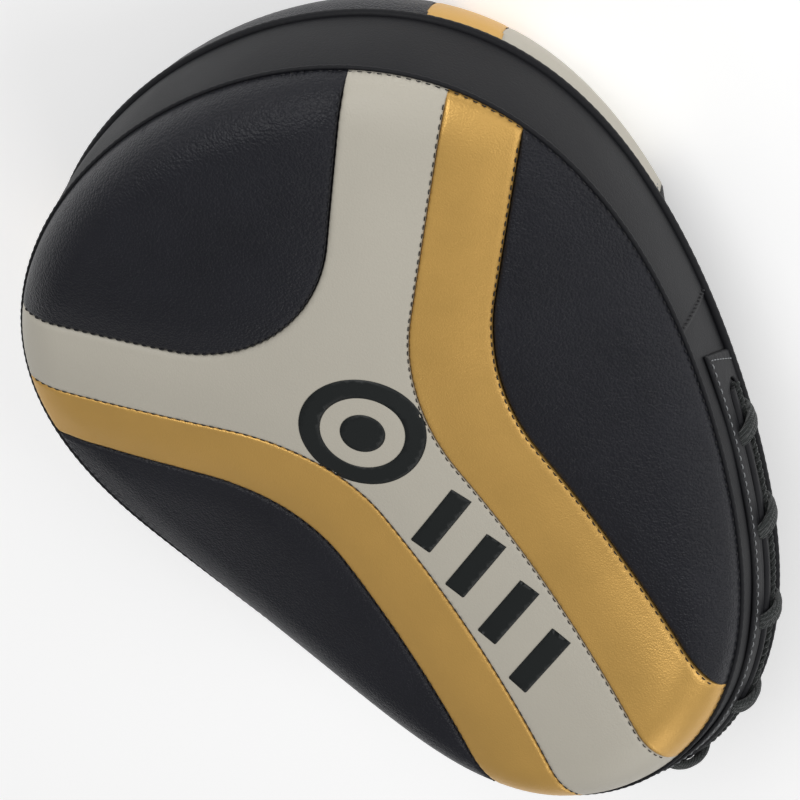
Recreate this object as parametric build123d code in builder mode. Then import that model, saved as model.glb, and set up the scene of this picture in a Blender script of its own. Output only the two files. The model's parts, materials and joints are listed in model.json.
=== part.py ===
from build123d import *
import os
from math import cos, hypot, pi, sin, tan

# Curved focus mitt, lying on the back of its finger hood with the strike face up.
# Millimetres. +Y towards the fingertips, +X towards the side whose lacing starts nearer the
# fingertips, +Z up. "Height" is measured square to the curled face, from the front seam.

# ---- pad ----
mitt_length = 272.0        # of the outline, along the curled face
seam_end = -(mitt_length / 2 + 14.0)   # the face seams run on past the wrist end
mid_width = 202.6          # of the outline, half way along
shoulder_lead = 30.0       # how far the widest place leads towards the fingertips
end_fullness = 15.4        # squareness of both ends
wrist_taper = 11.0         # narrowing towards the wrist
centre_shift = 0.5         # middle of the outline, along the face
bend_start = 22.0          # flat beyond this, curled up from here to the wrist
bend_radius = 286.0        # of the curl, at the front seam
pad_thickness = 36.0       # front seam to back
crown_height = 18.0        # middle of the strike face above the front seam
crown_edge = 6.0           # the same where the mitt is half way wide
leather = 1.2
board_thickness = 2.5
core_height = 20.0         # firm foam
welt_height = 3.0          # seam beads
welt_reach = 2.2           # their stand-out from the gusset

# ---- strike face seams on the +X side: wrist end, corner, far end of the arm ----
trunk_seam = [(17.9, seam_end), (16.1, 21.7), (114.8, 112.7)]
trunk_round = 73.0
band_seam = [(46.5, seam_end), (41.0, 11.4), (118.0, 84.9)]
band_round = 69.0
vee_seam = [(-120.0, 160.2), (0.0, 43.2), (120.0, 160.2)]
vee_round = 50.0

# ---- printed marks on the face ----
print_thickness = 0.4
ring_place = 20.0          # along Y
ring_radius = 21.0
ring_width = 7.0
dot_radius = 7.5
bar_count = 4
bar_first = -22.0          # along Y
bar_pitch = 20.0
bar_width = 8.0
bar_length = 26.0
bar_slant = 20.0           # degrees

# ---- finger hood ----
hood_padding = 8.0
hood_lining_thickness = 1.0
finger_room = 26.6         # height of the finger pocket
hood_bulge = 3.0           # stands out past the gusset
hood_mouth = 12.0          # along Y
hood_round_height = 14.0   # rounded lower edge
hood_round_inset = 12.0
binding_width = 3.0
hood_black_line = [(26.0, 12.0), (84.0, 104.0)]
hood_gold_line = [(46.0, 12.0), (97.0, 84.0)]

# ---- side wall and lacing ----
gusset_seam = -12.0        # upper and wrist gusset, along Y
patch_top = -29.0          # along Y
patch_front_gap = 10.0     # gusset left bare beside the front seam
slot_top = -40.0           # along Y
slot_depth = 20.0          # front seam to slot
slot_width = 9.5
lace_diameter = 3.6
lace_pitch = 30.0
lace_wraps = 9
lace_first = 128.0         # first wrap from the middle of the wrist end, along the gusset
lace_lean = 5.0            # half of a wrap's slant
wrap_front = -16.0         # heights of a wrap's two ends
wrap_back = -31.2
wrap_standoff = 4.9        # middle of the lace from the gusset
run_standoff = 3.2
run_reach = 12.0           # from a wrap to the straight run in the slot
lace_bend = 2.6

# ---- palm ball ----
ball_centre = -20.0        # along Y
ball_radius = 27.0
ball_depth = 21.0

# ---- wrist cuff ----
cuff_half_width = 56.0
cuff_low = -88.0
cuff_high = -50.0
cuff_corner = 7.0
cuff_padding = 5.0
cuff_gap = 6.0             # between the two flaps
strap_thickness = 2.2
strap_width = 32.0
strap_end = 40.0
strap_fold = 40.6          # fold line of the strap, from the middle
fold_gap = 0.4
fold_drop = 0.15           # fold line below the strap's outer face
anchor_end = 49.0
hook_thickness = 1.2
hook_width = 28.0
hook_from = 5.0
hook_to = 38.0
tab_length = 9.0
tab_width = 20.0
tab_thickness = 1.6

# ---- worked out ----
hood_wall = leather + hood_padding + hood_lining_thickness
back_z = hood_wall + finger_room
seam_z = back_z + pad_thickness
axis_z = seam_z + bend_radius
half_length = mitt_length / 2
core_bottom = -pad_thickness + leather + board_thickness
core_top = core_bottom + core_height
cuff_z = strap_thickness + 2 * hook_thickness
cuff_middle = (cuff_low + cuff_high) / 2
side_reach = mid_width / 2 + 10.7      # past both sides of the mitt
tip_reach = half_length + 24.0         # past both of its ends
sky = 200.0                # above it
outline_steps = 12
bend_sweep = (bend_start + half_length) / bend_radius + 0.08
crown_dome = (crown_height - crown_edge) * (side_reach / (mid_width / 2))**2


def outline_point(turn, out=0.0):
    """A point of the outline laid flat, moved outwards: turn is 0 at the fingertips, pi at the wrist."""
    def place(t):
        c = cos(t)
        width = mid_width / 2 + shoulder_lead * c + end_fullness * c**2 - wrist_taper * c**3
        return width * sin(t), centre_shift + half_length * c
    x, s = place(turn)
    before, after = place(turn - 0.001), place(turn + 0.001)
    run_x, run_s = after[0] - before[0], after[1] - before[1]
    length = hypot(run_x, run_s)
    return x - out * run_s / length, s + out * run_x / length


def level_outline(level, out):
    """Half of the outline where walls square to the curled face cross a level."""
    points = []
    for i in range(outline_steps + 1):
        x, s = outline_point(pi * i / outline_steps, out)
        angle = max(bend_start - s, 0.0) / bend_radius
        y = max(s, bend_start) - (axis_z - level) * tan(angle)
        points.append((0.0 if i in (0, outline_steps) else x, y))
    return points


def flat_outline(out):
    """Half of the outline laid flat."""
    points = [outline_point(pi * i / outline_steps, out) for i in range(outline_steps + 1)]
    return [(0.0, points[0][1])] + points[1:-1] + [(0.0, points[-1][1])]


def outline_face(points):
    """The face inside half an outline and its mirror image."""
    with BuildSketch() as face:
        with BuildLine():
            Spline(points, tangents=[(1, 0), (-1, 0)])
            mirror(about=Plane.YZ)
        make_face()
    return face.sketch


def outline_column(out):
    """Everything inside the outline, moved outwards, with walls square to the curled face."""
    with BuildPart() as column:
        for level in (-10.0, seam_z + 90.0):
            with BuildSketch(Plane.XY.offset(level)):
                add(outline_face(level_outline(level, out)))
        loft(ruled=True)
    return column.part


def slab(low, high, dome=0.0):
    """A curled slab between two heights, whose top falls by dome towards its sides."""
    with BuildPart() as block:
        with BuildSketch(Plane.XZ.offset(-bend_start)) as section:
            with BuildLine():
                Polyline((-side_reach, seam_z + high - dome), (-side_reach, seam_z + low),
                         (side_reach, seam_z + low), (side_reach, seam_z + high - dome))
                if dome:
                    ThreePointArc((side_reach, seam_z + high - dome), (0, seam_z + high),
                                  (-side_reach, seam_z + high - dome))
                else:
                    Line((side_reach, seam_z + high), (-side_reach, seam_z + high))
            make_face()
        extrude(section.sketch, amount=bend_start - tip_reach)
        revolve(section.sketch, axis=Axis((0, bend_start, axis_z), (1, 0, 0)),
                revolution_arc=-bend_sweep * 180 / pi)
    return block.part


columns = {out: outline_column(out) for out in (0.0, -leather, leather, welt_reach)}


def layer(low, high, out, dome=0.0):
    """One layer of the pad."""
    with BuildPart() as block:
        add(slab(low, high, dome))
        add(columns[out], mode=Mode.INTERSECT)
    return block.part


def ring(low, high, out, inner):
    """A band that follows the outline between two heights."""
    with BuildPart() as band:
        add(layer(low, high, out))
        add(columns[inner], mode=Mode.SUBTRACT)
    return band.part


def box(x, y, z):
    """A block between two values along each axis."""
    with BuildPart() as block:
        with BuildSketch(Plane.XY.offset(z[0])):
            with Locations(((x[0] + x[1]) / 2, (y[0] + y[1]) / 2)):
                Rectangle(x[1] - x[0], y[1] - y[0])
        extrude(amount=z[1] - z[0])
    return block.part


def region(points, corner=None, radius=0.0):
    """Everything above and below a region of the plan, with one corner of it rounded."""
    with BuildPart() as block:
        with BuildSketch() as plan:
            with BuildLine():
                Polyline(*points, close=True)
            make_face()
            if corner:
                fillet(plan.vertices().sort_by_distance((corner[0], corner[1], 0))[0], radius=radius)
        extrude(amount=sky)
    return block.part


def beyond(seam, radius, side):
    """The region on the outer side of a face seam, on the +X side or mirrored."""
    ends = [(side_reach * 2, seam[-1][1]), (side_reach * 2, seam[0][1])]
    points = [(side * x, y) for x, y in seam + ends]
    return region(points, (side * seam[1][0], seam[1][1]), radius)


def fan(line, side):
    """The region between the middle of the hood and a straight panel line, mirrored or not."""
    (x0, y0), (x1, y1) = line
    ends = [(x0 + (x1 - x0) * (y - y0) / (y1 - y0), y) for y in (-10.0, tip_reach)]
    return region([(side * x, y) for x, y in [(0, -10.0)] + ends + [(0, tip_reach)]])


def hood_block(shrink, low=hood_mouth, high=tip_reach):
    """The finger hood as a solid between two places along Y, shrunk on every side."""
    with BuildPart() as block:
        with BuildSketch(Plane.XY.offset(shrink)):
            add(outline_face(flat_outline(-hood_round_inset - shrink)))
        with BuildSketch(Plane.XY.offset(hood_round_height)):
            add(outline_face(flat_outline(hood_bulge - shrink)))
        loft(ruled=True)
        with BuildSketch(Plane.XY.offset(hood_round_height)):
            add(outline_face(flat_outline(hood_bulge - shrink)))
        extrude(amount=back_z - hood_round_height)
        add(box((-side_reach, side_reach), (low, high), (0, sky)), mode=Mode.INTERSECT)
    return block.part


def cuff_block(shrink):
    """The wrist cuff as a solid up to the back of the pad, shrunk on every side."""
    with BuildPart() as block:
        with BuildSketch(Plane.XZ.offset(-cuff_high)) as section:
            with BuildLine():
                Polyline((-cuff_half_width + shrink, sky / 2), (-cuff_half_width + shrink, cuff_z + shrink),
                         (cuff_half_width - shrink, cuff_z + shrink), (cuff_half_width - shrink, sky / 2),
                         close=True)
            make_face()
            fillet(section.vertices().group_by(Axis.Z)[0], radius=max(cuff_corner - shrink, 0.5))
        extrude(amount=cuff_high - cuff_low)
        add(above_back, mode=Mode.SUBTRACT)
    return block.part


above_back = slab(-pad_thickness, sky)
right_half = box((0, side_reach), (-tip_reach, tip_reach), (-sky, sky))
left_half = box((-side_reach, 0), (-tip_reach, tip_reach), (-sky, sky))
wrist_half = box((-side_reach, side_reach), (-tip_reach, gusset_seam), (0, sky))
halves = {"left": (-1, left_half), "right": (1, right_half)}
parts = {}

# ---- strike face ----
crown_outer = layer(0.0, crown_height, 0.0, crown_dome)
crown_inner = layer(core_top, crown_height - leather, -leather, crown_dome)
vee_ends = [(vee_seam[-1][0], 2 * tip_reach), (vee_seam[0][0], 2 * tip_reach)]
vee = region(vee_seam + vee_ends, vee_seam[1], vee_round)
trunk_sides = {name: beyond(trunk_seam, trunk_round, side) for name, (side, half) in halves.items()}
band_sides = {name: beyond(band_seam, band_round, side) for name, (side, half) in halves.items()}

with BuildPart() as face_leather:
    add(crown_outer)
    add(crown_inner, mode=Mode.SUBTRACT)

with BuildPart() as strike_panel_top:
    add(face_leather.part)
    add(vee, mode=Mode.INTERSECT)
parts["strike_panel_top"] = strike_panel_top

with BuildPart() as strike_panel_centre:
    add(face_leather.part)
    add(vee, mode=Mode.SUBTRACT)
    for name in halves:
        add(trunk_sides[name], mode=Mode.SUBTRACT)
parts["strike_panel_centre"] = strike_panel_centre

for name in halves:
    with BuildPart() as strike_band:
        add(face_leather.part)
        add(trunk_sides[name], mode=Mode.INTERSECT)
        add(band_sides[name], mode=Mode.SUBTRACT)
    parts["strike_band_" + name] = strike_band

    with BuildPart() as strike_panel:
        add(face_leather.part)
        add(band_sides[name], mode=Mode.INTERSECT)
    parts["strike_panel_" + name] = strike_panel

with BuildPart() as face_print:
    with BuildSketch():
        with Locations((0, ring_place)):
            Circle(ring_radius)
            Circle(ring_radius - ring_width, mode=Mode.SUBTRACT)
            Circle(dot_radius)
        with Locations(*[Location((0, bar_first - i * bar_pitch), bar_slant) for i in range(bar_count)]):
            Rectangle(bar_length, bar_width)
    extrude(amount=sky)
    add(slab(0, crown_height + print_thickness, crown_dome), mode=Mode.INTERSECT)
    add(slab(-pad_thickness, crown_height, crown_dome), mode=Mode.SUBTRACT)
parts["face_print"] = face_print

# ---- inside of the pad ----
with BuildPart() as impact_foam:
    add(crown_inner)
parts["impact_foam"] = impact_foam

with BuildPart() as core_foam:
    add(layer(core_bottom, core_top, -leather))
parts["core_foam"] = core_foam

with BuildPart() as stiffener_board:
    add(layer(core_bottom - board_thickness, core_bottom, -leather))
parts["stiffener_board"] = stiffener_board

with BuildPart() as back_panel:
    add(layer(-pad_thickness, -pad_thickness + leather, -leather))
parts["back_panel"] = back_panel

# ---- side wall, seams and lacing ----
side_wall = ring(-pad_thickness, 0.0, 0.0, -leather)

with BuildPart() as gusset_upper:
    add(side_wall)
    add(wrist_half, mode=Mode.SUBTRACT)
parts["gusset_upper"] = gusset_upper

with BuildPart() as gusset_wrist:
    add(side_wall)
    add(wrist_half, mode=Mode.INTERSECT)
parts["gusset_wrist"] = gusset_wrist

with BuildPart() as front_seam_welt:
    add(ring(-welt_height / 2, welt_height / 2, welt_reach, 0.0))
parts["front_seam_welt"] = front_seam_welt

with BuildPart() as back_seam_piping:
    add(ring(-pad_thickness, -pad_thickness + welt_height, welt_reach, 0.0))
parts["back_seam_piping"] = back_seam_piping

with BuildPart() as lacing_patch:
    add(ring(-pad_thickness + welt_height, -patch_front_gap, leather, 0.0))
    add(box((-side_reach, side_reach), (-tip_reach, patch_top), (0, sky)), mode=Mode.INTERSECT)
    slot = slab(-slot_depth - slot_width, -slot_depth)
    slot_region = box((-side_reach, side_reach), (-tip_reach, slot_top), (0, sky))
    add(slot & slot_region, mode=Mode.SUBTRACT)
parts["lacing_patch"] = lacing_patch


def wall_walk():
    """Distances from the middle of the wrist end round the side wall, with their outline angles."""
    steps = 400
    walk = [(0.0, pi)]
    for i in range(1, steps + 1):
        a, b = outline_point(pi - pi * (i - 1) / steps), outline_point(pi - pi * i / steps)
        walk.append((walk[-1][0] + hypot(b[0] - a[0], b[1] - a[1]), pi - pi * i / steps))
    return walk


def on_wall(distance, height, standoff):
    """A point beside the side wall: distance from the middle of the wrist end, height, stand-out."""
    turn = next(angle for length, angle in walk if length >= abs(distance))
    x, s = outline_point(turn, standoff)
    angle = max(bend_start - s, 0.0) / bend_radius
    radius = bend_radius - height
    side = 1 if distance >= 0 else -1
    return (side * x, max(s, bend_start) - radius * sin(angle), axis_z - radius * cos(angle))


walk = wall_walk()
run_height = -slot_depth - slot_width / 2
lace_last = lace_first - (lace_wraps - 1) * lace_pitch
lace_route = [on_wall(lace_last - run_reach, run_height, run_standoff)]
for i in range(lace_wraps):
    at = lace_last + i * lace_pitch
    lace_route.append(on_wall(at - lace_lean, wrap_front, wrap_standoff))
    lace_route.append(on_wall(at + lace_lean, wrap_back, wrap_standoff))
    lace_route.append(on_wall(at + run_reach, run_height - 0.5, run_standoff))
    if i < lace_wraps - 1:
        lace_route.append(on_wall(at + lace_pitch - run_reach, run_height + 0.5, run_standoff))

with BuildPart() as lace:
    with BuildLine() as lace_line:
        FilletPolyline(*lace_route, radius=lace_bend)
    with BuildSketch(Plane(origin=lace_line.line @ 0, z_dir=lace_line.line % 0)):
        Circle(lace_diameter / 2)
    sweep()
parts["lace"] = lace
lace_length = sum(edge.length for edge in lace_line.edges())
print("lace length", round(lace_length, 1), "volume over section times length",
      round(lace.part.volume / (lace_length * pi * lace_diameter**2 / 4), 4))

# ---- finger hood ----
hood_outer, hood_skin_inner = hood_block(0.0), hood_block(leather)
hood_foam_inner, hood_inner = hood_block(leather + hood_padding), hood_block(hood_wall)

with BuildPart() as hood_leather:
    add(hood_outer)
    add(hood_skin_inner, mode=Mode.SUBTRACT)

with BuildPart() as hood_panel_centre:
    add(hood_leather.part)
    add(fan(hood_black_line, 1) + fan(hood_black_line, -1), mode=Mode.INTERSECT)
parts["hood_panel_centre"] = hood_panel_centre

for name, (side, half) in halves.items():
    with BuildPart() as hood_stripe:
        add(hood_leather.part)
        add(fan(hood_gold_line, side), mode=Mode.INTERSECT)
        add(fan(hood_black_line, side), mode=Mode.SUBTRACT)
    parts["hood_stripe_" + name] = hood_stripe

    with BuildPart() as hood_side:
        add(hood_leather.part)
        add(half, mode=Mode.INTERSECT)
        add(fan(hood_gold_line, side), mode=Mode.SUBTRACT)
    parts["hood_side_" + name] = hood_side

with BuildPart() as hood_foam:
    add(hood_skin_inner)
    add(hood_foam_inner, mode=Mode.SUBTRACT)
parts["hood_foam"] = hood_foam

with BuildPart() as hood_lining:
    add(hood_foam_inner)
    add(hood_inner, mode=Mode.SUBTRACT)
parts["hood_lining"] = hood_lining

with BuildPart() as hood_binding:
    add(hood_block(0.0, hood_mouth - binding_width, hood_mouth))
    add(hood_block(hood_wall, hood_mouth - binding_width, hood_mouth), mode=Mode.SUBTRACT)
    add(above_back, mode=Mode.SUBTRACT)
parts["hood_binding"] = hood_binding


# ---- palm ball ----
def ball(shrink):
    """The palm ball up to the back of the pad, shrunk on every side."""
    with BuildPart() as dome:
        with Locations((0, ball_centre, back_z - ball_depth + ball_radius)):
            Sphere(ball_radius - shrink)
        add(above_back, mode=Mode.SUBTRACT)
    return dome.part


with BuildPart() as grip_ball_core:
    add(ball(leather))
parts["grip_ball_core"] = grip_ball_core

with BuildPart() as grip_ball_cover:
    add(ball(0.0))
    add(ball(leather), mode=Mode.SUBTRACT)
parts["grip_ball_cover"] = grip_ball_cover

# ---- wrist cuff ----
cuff_slot = box((-cuff_gap / 2, cuff_gap / 2), (-tip_reach, tip_reach), (0, sky))
for name, (side, half) in halves.items():
    with BuildPart() as cuff_flap:
        add(cuff_block(0.0))
        add(cuff_block(leather), mode=Mode.SUBTRACT)
        add(half, mode=Mode.INTERSECT)
        add(cuff_slot, mode=Mode.SUBTRACT)
    parts["cuff_flap_" + name] = cuff_flap

    with BuildPart() as cuff_foam:
        add(cuff_block(leather))
        add(cuff_block(leather + cuff_padding), mode=Mode.SUBTRACT)
        add(half, mode=Mode.INTERSECT)
        add(cuff_slot, mode=Mode.SUBTRACT)
    parts["cuff_foam_" + name] = cuff_foam

strap_y = (cuff_middle - strap_width / 2, cuff_middle + strap_width / 2)
hook_y = (cuff_middle - hook_width / 2, cuff_middle + hook_width / 2)
tab_y = (cuff_middle - tab_width / 2, cuff_middle + tab_width / 2)
hook_z = strap_thickness + hook_thickness

with BuildPart() as closure_strap:
    add(box((-strap_fold + fold_gap, strap_end), strap_y, (0, strap_thickness)))
    fillet(closure_strap.edges().filter_by(Axis.Z).sort_by(Axis.X)[-2:], radius=5.0)
parts["closure_strap"] = closure_strap

with BuildPart() as strap_anchor:
    add(box((-anchor_end, -strap_fold - fold_gap), strap_y, (0, cuff_z)))
parts["strap_anchor"] = strap_anchor

with BuildPart() as hook_patch:
    add(box((hook_from, hook_to), hook_y, (strap_thickness, hook_z)))
parts["hook_patch"] = hook_patch

with BuildPart() as loop_patch:
    add(box((hook_from, hook_to), hook_y, (hook_z, cuff_z)))
parts["loop_patch"] = loop_patch

with BuildPart() as pull_tab:
    add(box((strap_end, strap_end + tab_length), tab_y, (0, tab_thickness)))
    fillet(pull_tab.edges().filter_by(Axis.Z).sort_by(Axis.X)[-2:], radius=5.0)
parts["pull_tab"] = pull_tab

# ---- write ----
# the origin is on the floor, under the middle of the whole mitt
ends = [piece.part.bounding_box() for piece in parts.values()]
middle = (min(end.min.Y for end in ends) + max(end.max.Y for end in ends)) / 2
print("origin moved along Y by", round(middle, 4))

os.makedirs("parts", exist_ok=True)
for name, piece in parts.items():
    piece.part.locate(Location((0, -middle, 0)) * piece.part.location)
    piece.part.label = name
    export_step(piece.part, "parts/" + name + ".step")
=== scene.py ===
"""Focus mitt: the visible pieces of a curved focus mitt, built around its fixed frame."""

import json
from math import cos, pi, radians, sin

import bmesh
import bpy
import numpy as np
from mathutils import Matrix, Vector
from mathutils.geometry import delaunay_2d_cdt


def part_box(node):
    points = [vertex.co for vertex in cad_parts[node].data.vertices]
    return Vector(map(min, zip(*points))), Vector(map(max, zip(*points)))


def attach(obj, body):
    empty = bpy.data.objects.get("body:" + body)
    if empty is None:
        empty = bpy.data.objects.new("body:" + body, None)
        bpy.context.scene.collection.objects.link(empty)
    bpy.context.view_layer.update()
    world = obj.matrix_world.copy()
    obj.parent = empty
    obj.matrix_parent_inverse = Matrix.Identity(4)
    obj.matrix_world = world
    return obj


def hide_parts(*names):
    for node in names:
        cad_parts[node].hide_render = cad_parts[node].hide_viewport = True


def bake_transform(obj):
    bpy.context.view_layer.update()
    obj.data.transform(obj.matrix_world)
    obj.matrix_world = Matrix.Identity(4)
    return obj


bl_info = {
    "name": "Focus Mitt",
    "version": (1, 0, 0),
    "blender": (4, 5, 0),
    "location": "View3D > Sidebar > Mitt",
    "description": "Builds a curved focus mitt piece by piece",
    "category": "Add Mesh",
}

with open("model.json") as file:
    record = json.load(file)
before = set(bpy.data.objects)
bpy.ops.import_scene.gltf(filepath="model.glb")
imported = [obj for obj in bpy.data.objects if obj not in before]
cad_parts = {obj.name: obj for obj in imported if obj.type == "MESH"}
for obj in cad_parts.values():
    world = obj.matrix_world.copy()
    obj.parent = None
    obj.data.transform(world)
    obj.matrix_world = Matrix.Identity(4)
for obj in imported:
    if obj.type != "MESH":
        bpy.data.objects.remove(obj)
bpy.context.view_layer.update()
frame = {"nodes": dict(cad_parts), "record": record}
MM = 0.001

# ---- places taken from the frame, in millimetres ----
TIP_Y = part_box("gusset_upper")[1].y / MM
BACK_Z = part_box("gusset_upper")[0].z / MM
PAD = 36.0
SEAM_Z = BACK_Z + PAD
HALF_LENGTH = 136.0
MID_HALF_WIDTH = 101.3
SHOULDER_LEAD, END_FULLNESS, WRIST_TAPER = 30.0, 15.4, 11.0
CENTRE_SHIFT = 0.5
ORIGIN_Y = TIP_Y - HALF_LENGTH - CENTRE_SHIFT
BEND_START = 22.0
BEND_RADIUS = 286.0
HOOD_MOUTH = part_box("hood_foam")[0].y / MM - ORIGIN_Y
CUFF_BOX = [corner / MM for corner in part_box("cuff_foam_left")]
STRAP_BOX = [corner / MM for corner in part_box("closure_strap")]
BALL_BOX = [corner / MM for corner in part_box("grip_ball_cover")]

# face seams on the +X side: wrist end, corner and arm, with the radius of the corner
TRUNK_SEAM = ((17.9, -150.0), (16.1, 21.7), (118.0, 115.7), 73.0)
BAND_SEAM = ((46.5, -150.0), (41.0, 11.4), (122.0, 88.7), 69.0)
VEE_SEAM = ((-120.0, 160.2), (0.0, 43.2), (120.0, 160.2), 50.0)
GUSSET_SEAM_S = -12.0
PATCH_FRONT = 10.0
SLOT_NEAR, SLOT_FAR = 19.5, 30.5
LACE_FIRST, LACE_PITCH, LACE_WRAPS = 128.0, 30.0, 9


# ---- sizes and colours a user would change ----
class MittSizes(bpy.types.PropertyGroup):
    crown: bpy.props.FloatProperty(
        name="Crown", description="Middle of the strike face above its seam",
        default=0.018, min=0.01, max=0.03, unit="LENGTH")
    crown_fall: bpy.props.FloatProperty(
        name="Crown fall", description="How much lower the face is at its sides",
        default=0.0105, min=0.0, max=0.015, unit="LENGTH")
    roll: bpy.props.FloatProperty(
        name="Rolled edge", description="Width of the rounded edge of the strike face",
        default=0.015, min=0.005, max=0.03, unit="LENGTH")
    stitch_pitch: bpy.props.FloatProperty(
        name="Stitch pitch", description="One stitch to the next",
        default=0.0029, min=0.002, max=0.006, unit="LENGTH")
    thread: bpy.props.FloatProperty(
        name="Thread", description="Thickness of the sewing thread",
        default=0.00042, min=0.0002, max=0.001, unit="LENGTH")
    lace_width: bpy.props.FloatProperty(
        name="Lace width", description="Width of the flat lace",
        default=0.0066, min=0.003, max=0.009, unit="LENGTH")


def colour(name, words, value):
    """A colour property."""
    return bpy.props.FloatVectorProperty(
        name=name, description=words, default=value, size=3, min=0.0, max=1.0, subtype="COLOR")


class MittColours(bpy.types.PropertyGroup):
    black: colour("Black leather", "Grained leather of the strike face", (0.0125, 0.0130, 0.0180))
    side: colour("Side leather", "Smooth leather of the side wall", (0.0125, 0.0128, 0.0150))
    pale: colour("Pale leather", "Leather of the centre panel", (0.570, 0.535, 0.455))
    gold: colour("Gold leather", "Metallic leather of the bands", (0.740, 0.440, 0.118))
    printed: colour("Print", "Printed marks", (0.0075, 0.0100, 0.0100))
    lace: colour("Lace", "Flat lace", (0.022, 0.027, 0.026))
    pale_thread: colour("Pale thread", "Stitching of the lacing patch", (0.30, 0.31, 0.32))
    floor: colour("Floor", "Studio floor", (0.90, 0.90, 0.90))


# ---- form of the mitt, all in millimetres ----
def outline(turn, out=0.0):
    """Points of the outline laid flat, moved outwards: turn is 0 at the fingertips, pi at the wrist."""
    def place(t):
        c = np.cos(t)
        half_width = MID_HALF_WIDTH + SHOULDER_LEAD * c + END_FULLNESS * c**2 - WRIST_TAPER * c**3
        return np.stack([np.sin(t) * half_width, CENTRE_SHIFT + HALF_LENGTH * c], -1)
    turn = np.asarray(turn, float)
    run = place(turn + 1e-3) - place(turn - 1e-3)
    run /= np.linalg.norm(run, axis=-1, keepdims=True)
    return place(turn) + np.asarray(out, float)[..., None] * np.stack([-run[..., 1], run[..., 0]], -1)


RIM_TURNS = np.linspace(-pi, pi, 1441)
_rim_points = outline(RIM_TURNS)
RIM_WALK = np.concatenate([[0.0], np.cumsum(np.linalg.norm(np.diff(_rim_points, axis=0), axis=1))])
RIM_LENGTH = RIM_WALK[-1]


def rim(distance, out=0.0):
    """Outline points by distance from the middle of the wrist end, counted along the +X side."""
    turn = np.interp((-np.asarray(distance, float)) % RIM_LENGTH, RIM_WALK, RIM_TURNS)
    return outline(turn, out)


def curl(flat, height):
    """World places, in metres, of points laid flat with their heights over the front seam."""
    flat = np.asarray(flat, float)
    height = np.broadcast_to(np.asarray(height, float), flat.shape[:-1])
    angle = np.maximum(BEND_START - flat[..., 1], 0.0) / BEND_RADIUS
    radius = BEND_RADIUS - height
    y = np.maximum(flat[..., 1], BEND_START) - radius * np.sin(angle)
    z = SEAM_Z + BEND_RADIUS - radius * np.cos(angle)
    return np.stack([flat[..., 0], y + ORIGIN_Y, z], -1) * MM


def wall(distance, height, out):
    """World places on the side wall."""
    distance, height, out = np.broadcast_arrays(
        np.asarray(distance, float), np.asarray(height, float), np.asarray(out, float))
    return curl(rim(distance, out), height)


def rounded(seam, mirrored=False):
    """A seam line of the face: two straight runs and an arc, about a millimetre a step."""
    start, corner, end = (np.array(p) for p in seam[:3])
    radius = seam[3]
    u = (start - corner) / np.linalg.norm(start - corner)
    v = (end - corner) / np.linalg.norm(end - corner)
    half = np.arccos(u @ v) / 2
    a, b = corner + u * radius / np.tan(half), corner + v * radius / np.tan(half)
    centre = corner + (u + v) / np.linalg.norm(u + v) * radius / np.sin(half)
    first, last = np.arctan2(*(a - centre)[::-1]), np.arctan2(*(b - centre)[::-1])
    sweep = (last - first + pi) % (2 * pi) - pi
    angles = first + sweep * np.linspace(0, 1, 40)
    line = np.vstack([start, centre + radius * np.stack([np.cos(angles), np.sin(angles)], 1), end])
    line = resample(line, 0.9)
    return line * [-1, 1] if mirrored else line


def resample(line, step):
    """The same line with even steps."""
    walk = np.concatenate([[0.0], np.cumsum(np.linalg.norm(np.diff(line, axis=0), axis=1))])
    at = np.linspace(0, walk[-1], max(int(walk[-1] / step), 2) + 1)
    return np.stack([np.interp(at, walk, line[:, i]) for i in range(line.shape[1])], 1)


def nearest(points, line):
    """Distance of each point from a line, its place along the line, and its side (left is +1)."""
    a, d = line[:-1], np.diff(line, axis=0)
    step = np.linalg.norm(d, axis=1)
    walk = np.concatenate([[0.0], np.cumsum(step)])[:-1]
    out = [np.empty(len(points)) for _ in range(3)]
    for i in range(0, len(points), 2000):
        p = points[i:i + 2000, None, :] - a[None]
        t = np.clip((p * d).sum(2) / step**2, 0, 1)
        away = p - t[..., None] * d
        length = np.linalg.norm(away, axis=2)
        j = length.argmin(1)
        k = np.arange(len(j))
        out[0][i:i + 2000] = length[k, j]
        out[1][i:i + 2000] = walk[j] + t[k, j] * step[j]
        out[2][i:i + 2000] = np.sign(d[j, 0] * away[k, j, 1] - d[j, 1] * away[k, j, 0])
    return out


def inside(points, polygon):
    """Whether each point is inside a polygon."""
    found = np.zeros(len(points), bool)
    x, y = points[:, 0], points[:, 1]
    for (x0, y0), (x1, y1) in zip(polygon, np.roll(polygon, -1, 0)):
        crosses = (y0 > y) != (y1 > y)
        with np.errstate(divide="ignore", invalid="ignore"):
            found ^= crosses & (x < (x1 - x0) * (y - y0) / (y1 - y0) + x0)
    return found


SEAMS = {"trunk_right": rounded(TRUNK_SEAM), "trunk_left": rounded(TRUNK_SEAM, True),
         "band_right": rounded(BAND_SEAM), "band_left": rounded(BAND_SEAM, True),
         "vee": rounded(VEE_SEAM)}
SEAM_FORM = {"trunk": (0.9, 1.3, 0.35), "band": (1.7, 2.0, 1.1), "vee": (1.7, 2.0, 1.0)}
OUTLINE = resample(rim(np.linspace(0, RIM_LENGTH, 1201)), 1.1)


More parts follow.
